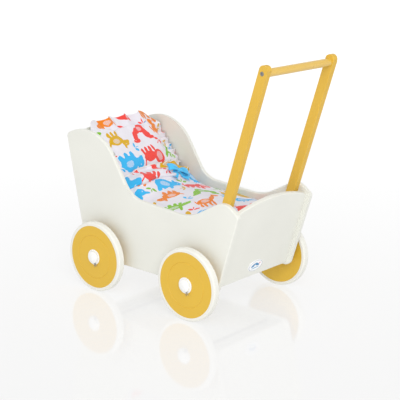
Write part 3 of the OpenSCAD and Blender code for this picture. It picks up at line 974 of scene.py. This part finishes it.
def make_duvet(material):
    """Duvet that lies on the mattress, with its raised end against the pillow."""
    piece = soft_piece("printed_duvet", "duvet", material, "print_cotton", rounds=9)
    swell(piece, [((0, 0, 1), 0.9), (SLOPE_OUT, 0.35)], 9 * MM, held=1 * MM)
    crown_duvet(piece)
    crumple(piece, 46 * MM, 3.2 * MM)
    keep_in_tub(piece)
    subdivide(piece)
    lay_cloth(piece, DUVET_PROFILE, INNER_Y, start=(20, -30), turn=38)
    return piece


def crest_fall(y):
    """How far the raised end's top lies below its highest place, by the place across, all in mm."""
    return 12 * (np.abs(y - 8) / 100) ** 3.5 + 28 * np.clip((y - 80) / 30, 0, 1) ** 1.5


def crown_duvet(piece):
    """Raises the duvet along its middle and lets it fall towards the side boards."""
    points = point_array(piece.data)
    x, y, z = (points[:, 0] - STATION_X) / MM, points[:, 1] / MM, points[:, 2] / MM
    raised = np.clip((-48 - x) / 56, 0, 1)
    share = np.clip((z - 131) / 64, 0, 1)
    on_bed = 9 - 26 * (np.abs(y) / 114) ** 2.2
    on_crest = -7 - crest_fall(y)
    points[:, 2] += share * ((1 - raised) * on_bed + raised * on_crest) * MM
    set_points(piece.data, points)


def surface_tree(*pieces):
    """Tree for ray tests against the final surfaces of pieces."""
    points, faces = [], []
    for piece in pieces:
        data = evaluated(piece)
        faces += [tuple(len(points) + i for i in p.vertices) for p in data.polygons]
        points += [tuple(v.co) for v in data.vertices]
    return BVHTree.FromPolygons(points, faces)


def on_slope(tree, down, y, lift=0.0):
    """Point on the raised end, by its distance down from the crest and its place across."""
    over = min(down, 0) / (12 * MM)
    out = (SLOPE_OUT * (1 + over) - Vector((0, 0, 1)) * over).normalized()
    top = CREST + Vector((0, y, -crest_fall(y / MM) * MM))
    base = top + (SLOPE_DOWN * down if down > 0 else Vector((down, 0, 0)))
    hit = tree.ray_cast(base + out * 0.06, -out, 0.12)[0]
    return (hit or base) + out * lift


def fade(value, low, high):
    """0 below low and 1 above high, with a smooth change between."""
    t = min(1.0, max(0.0, (value - low) / (high - low)))
    return t * t * (3 - 2 * t)


def gathers(down, y):
    """Folds that run out from the bow, from -1 to 1."""
    away = Vector((down - BOW_DOWN, y - BOW_Y))
    angle = math.atan2(away.y, away.x)
    return math.sin(9 * angle + 1.5 * math.sin(2 * angle)) * fade(away.length, 0, 14 * MM) \
        * (1 - fade(away.length, 25 * MM, 80 * MM))


def flap_drop(y):
    """How far the turned-down end reaches down the slope, by the place across."""
    drop = (42 - 15 * fade(-y, 55 * MM, 105 * MM) - 12 * fade(y, 70 * MM, 110 * MM)) * MM
    return drop + 2.5 * MM * math.sin(y / (17 * MM)) + 5 * MM * math.exp(-((y - BOW_Y) / (20 * MM)) ** 2)


def flap_height(down, y, drop):
    """How far the turned-down end stands off the slope: rolled at its edge, full between its folds and
    tied flat under the bow."""
    roll = math.sqrt(max(0.0, 1 - max(0.0, 1 - (drop - down) / FLAP_THICK) ** 2))
    side = math.sqrt(max(0.0, 1 - fade(abs(y), FLAP_HALF_W - 10 * MM, FLAP_HALF_W) ** 2))
    back = fade(down, -FLAP_BEHIND, 6 * MM)
    tied = math.exp(-((down - BOW_DOWN) ** 2 + (y - BOW_Y) ** 2) / (15 * MM) ** 2)
    puff = 1 + 0.28 * noise.noise(Vector((down / 0.03, y / 0.03, 3))) + 0.55 * gathers(down, y)
    puff *= 1 - 0.75 * tied
    return max(FLAP_THICK * roll * side * (0.25 + 0.75 * back) * puff, 0.2 * MM)


def make_turned_end(tree, material, trim):
    """The duvet's end, turned down over its slope: a soft double layer with a rolled lower edge."""
    columns, rows = 96, 22
    low_grid, top_grid = np.zeros((columns, rows, 3)), np.zeros((columns, rows, 3))
    places = []
    for i in range(columns):
        y = -FLAP_HALF_W + 2 * FLAP_HALF_W * i / (columns - 1)
        drop = flap_drop(y)
        for j in range(rows):
            reach = math.sin(0.5 * math.pi * j / (rows - 1)) ** 0.9
            down = -FLAP_BEHIND + (drop + FLAP_BEHIND) * reach
            low_grid[i, j] = on_slope(tree, down, y, -0.5 * MM)
            top_grid[i, j] = on_slope(tree, down, y, flap_height(down, y, drop))
            places.append((y / MM + 30, 150 + down / MM))
    low_grid, top_grid = smoothed(low_grid, 3), smoothed(top_grid, 2)
    piece = add_piece("turned_down_end", shell_between(top_grid, low_grid), material, "bedding",
                      "print_cotton", sharp=120)
    set_cloth(piece.data, np.array(places + places), turn=-24)
    subdivide(piece)
    edge = [top_grid[i, 1] + np.array((-0.6 * MM, 0, 0.4 * MM)) for i in range(2, columns - 2)]
    make_piping("turned_end_piping", edge, 1.1 * MM, trim)
    return piece


def smoothed(grid, rounds):
    """Grid of points with each one moved towards its neighbours; the rim stays."""
    for _ in range(rounds):
        middle_points = (grid[:-2, 1:-1] + grid[2:, 1:-1] + grid[1:-1, :-2] + grid[1:-1, 2:]) / 4
        grid = grid.copy()
        grid[1:-1, 1:-1] = (grid[1:-1, 1:-1] + middle_points) / 2
    return grid


def shell_between(top, bottom):
    """Closed mesh between two grids of the same size."""
    points = [tuple(p) for grid in (top, bottom) for p in grid.reshape(-1, 3)]
    return points, layer_faces(*top.shape[:2])


def make_piping(name, line, radius, material):
    """Thin covered cord that follows a line of points."""
    line = np.array(line)
    around = 8
    tangent = np.gradient(line, axis=0)
    tangent /= np.linalg.norm(tangent, axis=1, keepdims=True)
    side = np.cross(tangent, (0.3, 0.2, 1.0))
    side /= np.linalg.norm(side, axis=1, keepdims=True)
    up = np.cross(side, tangent)
    points, places = [], []
    for here, run, a, b in zip(line, run_along(line), side, up):
        for k in range(around):
            angle = 2 * math.pi * k / around
            points.append(tuple(here + radius * (math.cos(angle) * a + math.sin(angle) * b)))
            places.append((run, radius / MM * angle))
    mesh = points, ring_faces(len(line), around)
    piece = add_piece(name, mesh, material, "bedding", "plain_cotton", sharp=70)
    set_cloth(piece.data, np.array(places))


def frill_path(half_w, steps=420):
    """Points and outward directions round the pillow's two sides and top, in its slope's own plane:
    up one side, round a corner to the middle of the top, and the same mirrored."""
    straight = FRILL_SIDE - FRILL_CORNER
    arc = FRILL_CORNER * math.pi / 2
    total = 2 * (straight + arc + half_w - FRILL_CORNER)
    found = []
    for i in range(steps + 1):
        s = total * i / steps
        mirror = 1 if s <= total / 2 else -1
        near = min(s, total - s)
        turn = min(max(near - straight, 0) / FRILL_CORNER, math.pi / 2)
        x, y = -math.cos(turn), math.sin(turn)
        past = max(near - straight - arc, 0)
        at = (FRILL_CORNER * (1 + x) - half_w + past, min(near, straight) + FRILL_CORNER * y)
        found.append((s, (mirror * at[0], at[1]), (mirror * x, y)))
    return found, total


def make_frill(pillow_tree, material):
    """Gathered frill sewn into the pillow's side and top seams: a thin strip in close waves down the
    sides and in wider, taller ones over the top."""
    half_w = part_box("pillow")[1].y - 3 * MM
    side_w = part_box("pillow_frill")[1].y - half_w + 1.5 * MM
    up = np.array((-math.sin(FRILL_LEAN), 0, math.cos(FRILL_LEAN)))
    out_of_slope = np.array((math.cos(FRILL_LEAN), 0, math.sin(FRILL_LEAN)))
    across = np.array((0, 1, 0))
    path, total = frill_path(half_w)
    bases = [np.array(FRILL_FOOT) + across * at[0] + up * at[1] for _, at, _ in path]
    seam = [seam_height(pillow_tree, base, out_of_slope) for base in bases]
    seam = np.convolve(np.pad(seam, 6, "edge"), np.ones(13) / 13, "valid")
    cols = 10
    grid = np.zeros((len(path), cols, 3))
    phase = 0.0
    for i, (s, _, out) in enumerate(path):
        on_top = max(0.0, out[1]) ** 2
        slow = noise.noise(Vector((s / 0.04, 0, 7)))
        wave = (16 + 31 * on_top + 6 * slow) * MM
        phase += 2 * math.pi * total / (len(path) - 1) / wave
        outward = across * out[0] + up * out[1]
        along = across * out[1] - up * out[0]
        width = side_w + 15 * MM * on_top
        tall = 1 + 0.7 * noise.noise(Vector((s / 0.018, 4, 1)))
        for j in range(cols):
            v = j / (cols - 1)
            swing = (0.9 + (5.4 + 2 * on_top) * v ** 1.1) * MM * tall
            reach = width * v * (1 - 0.1 * v * (1 + math.sin(phase + 0.9)))
            height = seam[i] * (1 - v) + (2 + 5 * on_top) * MM * v + swing * math.sin(phase)
            sideways = 0.35 * swing * math.sin(2 * phase)
            grid[i, j] = bases[i] + outward * reach + out_of_slope * height + along * sideways
    limit = INNER_Y - FRILL_THICK
    grid[:, :, 1] = np.clip(grid[:, :, 1], -limit, limit)
    piece = add_piece("gathered_frill", thick_strips([grid], FRILL_THICK), material, "bedding",
                      "print_cotton", ["pillow_frill"], sharp=120)
    set_cloth(piece.data, strip_cloth([grid], 30, start=(15, 60)), turn=-6)
    subdivide(piece)


def seam_height(tree, base, out):
    """How far the pillow's surface stands out of the frill's plane at base, a little sunk in."""
    hit = tree.ray_cast(Vector(base + out * 60 * MM), Vector(-out), 0.12)[0]
    return min(18 * MM, max(0.0, (np.array(hit) - base) @ out - 1.5 * MM)) if hit else 0.0


def grid_of(rows, cols, place):
    """Grid of the points place(t, v), with t from 0 to 1 along it and v from -0.5 to 0.5 across it."""
    return np.array([
        [place(i / (rows - 1), j / (cols - 1) - 0.5) for j in range(cols)]
        for i in range(rows)
    ])


def make_bow(tree, material):
    """Satin bow: two loops, two tails and the knot that holds them."""
    at = np.array(on_slope(tree, BOW_DOWN, BOW_Y))
    down, out, across = np.array(SLOPE_DOWN), np.array(SLOPE_OUT), np.array((0, 1, 0))
    c, s = math.cos(BOW_TURN), math.sin(BOW_TURN)
    long, wide = across * c - down * s, down * c + across * s

    def loop(side, reach, rise):
        def place(t, v):
            t = 0.03 + 0.94 * t
            opened = math.sin(math.pi * t)
            spread = (6 + 14 * opened ** 0.8) * MM * v
            pleat = 1.4 * MM * (1 - opened) * math.cos(5 * math.pi * v)
            bulge = rise * (0.9 - 0.75 * math.sin(2 * math.pi * t)) - 2.5 * MM * opened * (2 * v) ** 2
            along = side * (3 * MM + reach * (1 - math.cos(2 * math.pi * t)) / 2)
            sideways = spread + side * 2 * MM * opened
            return at + long * along + wide * sideways + out * (bulge + pleat + 1 * MM)
        return grid_of(34, 9, place)

    def tail(side, lean, reach):
        heading = wide * lean + long * side * (1 - 0.5 * lean)
        heading /= np.linalg.norm(heading)
        cross = np.cross(out, heading)

        def place(t, v):
            spread = (6 + 9 * t ** 0.7) * MM * v
            end = 1 + 0.22 * (2 * abs(v) - 0.5) * fade(t, 0.6, 1)
            wave = 2.2 * math.sin(2.6 * math.pi * t + side) * (0.4 + t)
            lift = (3.2 + wave + math.cos(4 * v)) * MM
            return at + heading * (2 * MM + reach * t * end) + cross * spread + out * lift
        return grid_of(24, 7, place)

    def knot(t, v):
        angle = 2 * math.pi * 0.98 * t
        r = (4.6 - 3.2 * v * v + 0.35 * math.cos(7 * angle)) * MM
        sideways, lift = 1.15 * r * math.cos(angle), r * math.sin(angle) + 5.6 * MM
        return at + long * v * 9 * MM + wide * sideways + out * lift

    grids = [
        loop(LEFT, 24 * MM, 7.5 * MM), loop(RIGHT, 22 * MM, 6.5 * MM),
        tail(LEFT, 0.95, 25 * MM), tail(RIGHT, 0.55, 30 * MM),
        grid_of(25, 7, knot),
    ]
    piece = add_piece("satin_bow", thick_strips(grids, BOW_THICK), material, "bedding", "satin_ribbon",
                      ["ribbon_bow"], sharp=120)
    set_cloth(piece.data, strip_cloth(grids, 20))
    subdivide(piece)


# ---------------------------------------------------------------- badge

def badge_print():
    """White oval with a thin grey border and a generic mark: two blue leaves over a line and a pink dot."""
    net = Net("printed_badge")
    place = net.attribute("face")
    rim = net.ellipse(place, 0, 0, 24, 13)
    border = net.math("MULTIPLY", net.ramp(rim, 0.86, 0.88), net.ramp(rim, 0.95, 0.93))
    leaf = net.inside(place, [(-8, 1.5, 7, 3, 28), (4, 2.5, 8, 3, -24)])
    line = net.inside(place, [(0, -5, 13, 1.1, 4)])
    dot = net.inside(place, [(12.5, 4, 2.2, 2.2)])
    speckle = net.noise(net.object_place(), 900.0, 2.0)
    color = net.mix(speckle, linear("F2F3F4"), linear("FBFBFB"))
    color = net.mix(border, color, linear("A9B4BE"))
    color = net.mix(leaf, color, linear("3E86B8"))
    color = net.mix(line, color, linear("5FA6CF"))
    color = net.mix(dot, color, linear("E58FA8"))
    net.surface(color, net.ramp(speckle, 0.3, 0.7, 0.2, 0.3), net.bump(speckle, 0.05, 0.0001), coat=0.4,
                coat_roughness=0.1)
    return net.material


# Rings of the badge's dome, each as a share of its half size and of its half thickness
BADGE_RINGS = [(1.0, -1.0), (1.0, 0.2), (0.975, 0.62), (0.93, 0.82), (0.8, 0.92), (0.5, 0.98), (0.2, 1.0)]


def make_badge(material):
    """Domed oval badge on the foot board's outer face."""
    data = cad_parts["oval_badge"].data
    out = Vector(max(data.polygons, key=lambda f: f.normal.x * f.area).normal)
    across = Vector((0, 1, 0))
    up = out.cross(across)
    up *= 1 if up.z > 0 else -1
    centre = middle("oval_badge")
    corners = [Vector(v.co) - centre for v in data.vertices]
    half_w, half_h, half_t = (max(p.dot(axis) for p in corners) for axis in (across, up, out))
    around = 72
    points, places = [], []
    for reach, height in BADGE_RINGS:
        for k in range(around):
            angle = 2 * math.pi * k / around
            x, y = half_w * reach * math.cos(angle), half_h * reach * math.sin(angle)
            points.append(tuple(centre + across * x + up * y + out * half_t * height))
            places.append((x / MM, y / MM))
    piece = add_piece("domed_badge", (points, ring_faces(len(BADGE_RINGS), around)), material, "root",
                      "badge_plastic", ["oval_badge"], sharp=40)
    set_cloth(piece.data, np.array(places), name="face")


# ---------------------------------------------------------------- building

make_camera()
make_floor()
make_light()

white_paint = satin_paint("white_satin_paint", linear("E5E5DD"))
bar_paint = satin_paint("yellow_paint_on_wood", linear("DDB23E"), grain_along=math.radians(-16.2))
grip_lacquer = satin_paint("yellow_lacquer_on_grip", linear("DDB54C"), gloss=0.32, coat=0.6)
disc_paint = satin_paint("yellow_paint_on_board", linear("DEB437"))
tyre_rubber = rubber("white_tyre_rubber", linear("E9E8E0"))
hub_plastic = moulded_plastic("white_plastic", linear("F4F4F2"))
steel = plated_steel("plated_steel", (0.33, 0.32, 0.31))
dowel_wood = beech("beech", linear("D8B98A"))

make_tub(white_paint)
make_handle(bar_paint, grip_lacquer, steel)
for end in ("front", "rear"):
    for side in (LEFT, RIGHT):
        make_wheel(end, side, disc_paint, tyre_rubber, hub_plastic)
for node in ("front_axle", "rear_axle", "split_pins", "handle_insert_nuts"):
    ease_cad(node, 0, steel)
ease_cad("axle_spacers", 0.4 * MM, hub_plastic)
ease_cad("hub_caps", 0.5 * MM, hub_plastic)
for node in ("floor_dowels", "foot_dowels", "head_dowels"):
    ease_cad(node, 0, dowel_wood)

print_cloth, white_cloth = printed_cotton(), plain_cotton()
make_mattress(white_cloth)
pillow = make_pillow(print_cloth)
duvet = make_duvet(print_cloth)
slope_tree = surface_tree(duvet)
make_frill(surface_tree(pillow), print_cloth)
turned_end = make_turned_end(slope_tree, print_cloth, white_cloth)
make_bow(surface_tree(turned_end, duvet), satin("blue_satin", linear("3FBFF5")))
make_badge(badge_print())
